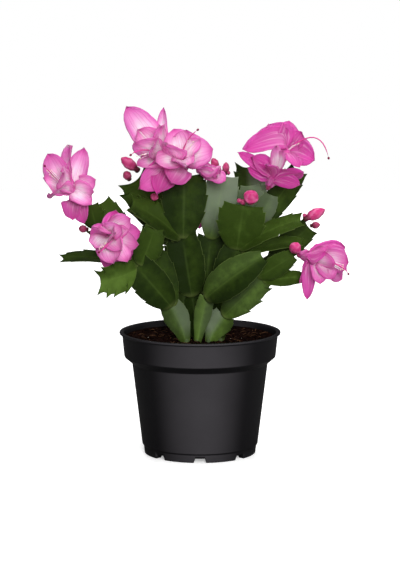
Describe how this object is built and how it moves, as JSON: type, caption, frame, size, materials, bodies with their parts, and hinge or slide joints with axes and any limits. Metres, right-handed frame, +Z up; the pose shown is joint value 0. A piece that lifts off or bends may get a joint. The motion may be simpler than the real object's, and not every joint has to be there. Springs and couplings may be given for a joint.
{
  "type": "potted christmas cactus",
  "caption": "Christmas cactus in bloom in a round plastic nursery pot, with flat toothed stem segments, layered magenta flowers and buds.",
  "frame": {"origin": "on the ground under the middle of the pot, at the middle of its flat underside", "axes": "+Z is up and along the pot's axis and the plant's height; -Y is the plant's front; +X is to the right of someone who looks at the front"},
  "size_m": [0.2234, 0.1703, 0.2598],
  "materials": {
    "pot": "matt charcoal injection-moulded plastic with a fine grain",
    "soil": null,
    "stem": null,
    "petal": "thin satin petals, magenta at the edge and pale inside",
    "bud": "closed pink petals with a brown-red foot"
  },
  "bodies": {
    "root": {"pot": "pot", "soil": "soil", "stem_left_front": "stem", "stem_left_back": "stem", "stem_centre": "stem", "stem_centre_front": "stem", "stem_right_front": "stem", "stem_right": "stem", "stem_right_back": "stem", "stem_back_left": "stem", "stem_back_right": "stem", "bloom_far_left": "petal", "bloom_left": "petal", "bloom_top_bunch": "petal", "bloom_right": "petal", "bloom_lower_right": "petal", "bloom_back": "petal", "bud_top_left": "bud", "bud_top_left_small": "bud", "bud_left_middle": "bud", "bud_left_brown": "bud", "bud_half_open": "bud", "bud_middle_left": "bud", "bud_middle_right": "bud", "bud_round": "bud", "bud_right_long": "bud", "bud_right_small": "bud", "bud_lower_right": "bud", "bud_back_top": "bud", "bud_back_middle": "bud", "bud_back_right": "bud"}
  },
  "joints": []
}
